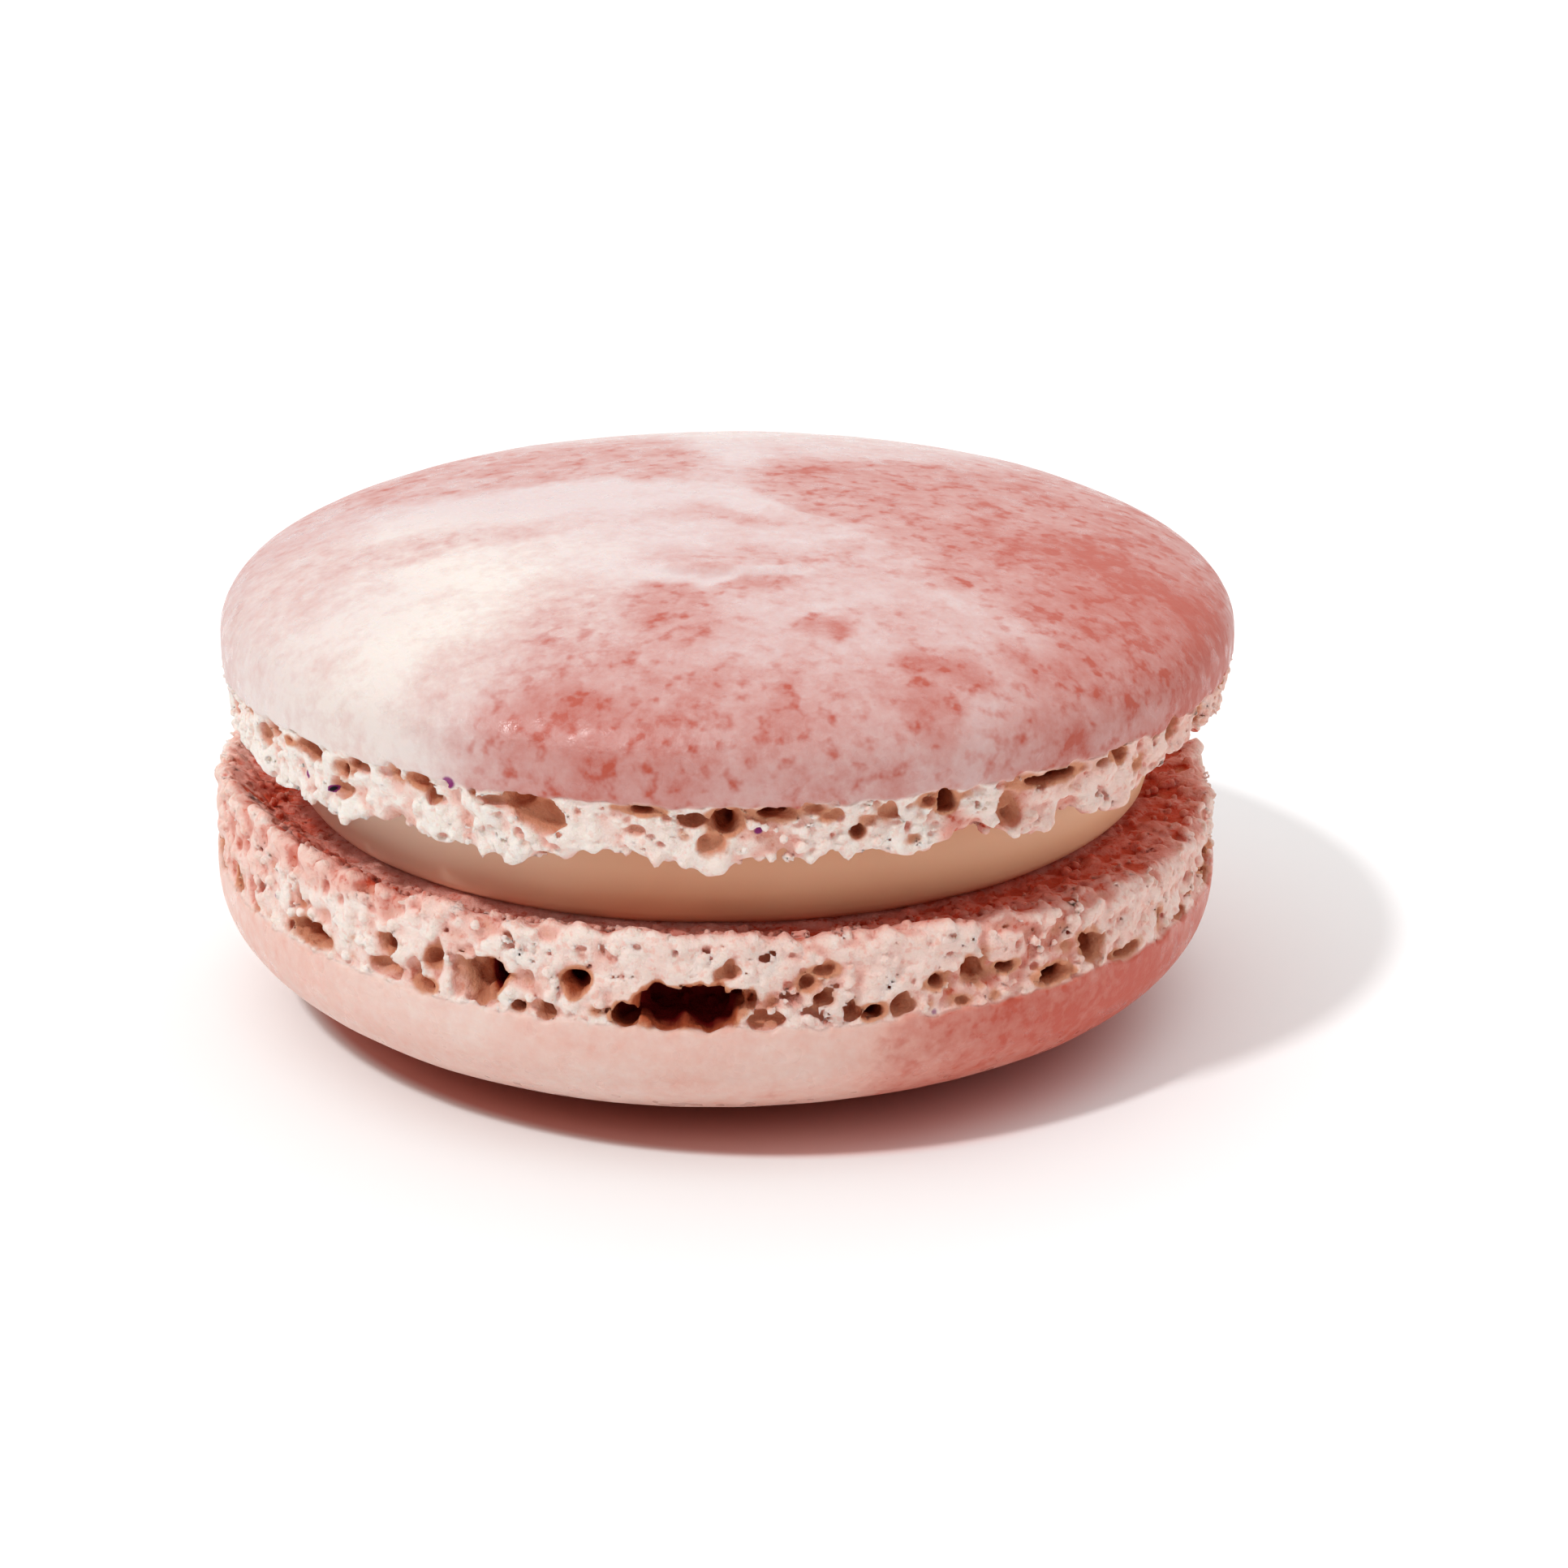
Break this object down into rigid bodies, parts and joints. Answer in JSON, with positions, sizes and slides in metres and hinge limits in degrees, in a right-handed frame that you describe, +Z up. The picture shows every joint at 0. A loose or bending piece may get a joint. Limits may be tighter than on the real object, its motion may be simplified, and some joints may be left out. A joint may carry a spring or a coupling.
{
  "type": "french macaron",
  "caption": "Round sandwich biscuit: two smooth domed almond shells with crumbly feet round a disc of beige cream.",
  "frame": {"origin": "on the table, under the middle of the macaron", "axes": "+Z up through both shells, +X to the right and +Y away from the picture's camera"},
  "size_m": [0.0456, 0.045, 0.0227],
  "materials": {
    "shell_upper": "baked almond meringue crust with a soft gloss, salmon pink marbled with cream, over a matt pale foot",
    "cream": "smooth beige cream with a slight sheen",
    "shell_lower": "baked almond meringue crust, pale pink to salmon, under a matt pale foot"
  },
  "bodies": {
    "root": {"top_shell": "shell_upper", "filling": "cream", "bottom_shell": "shell_lower"}
  },
  "joints": []
}
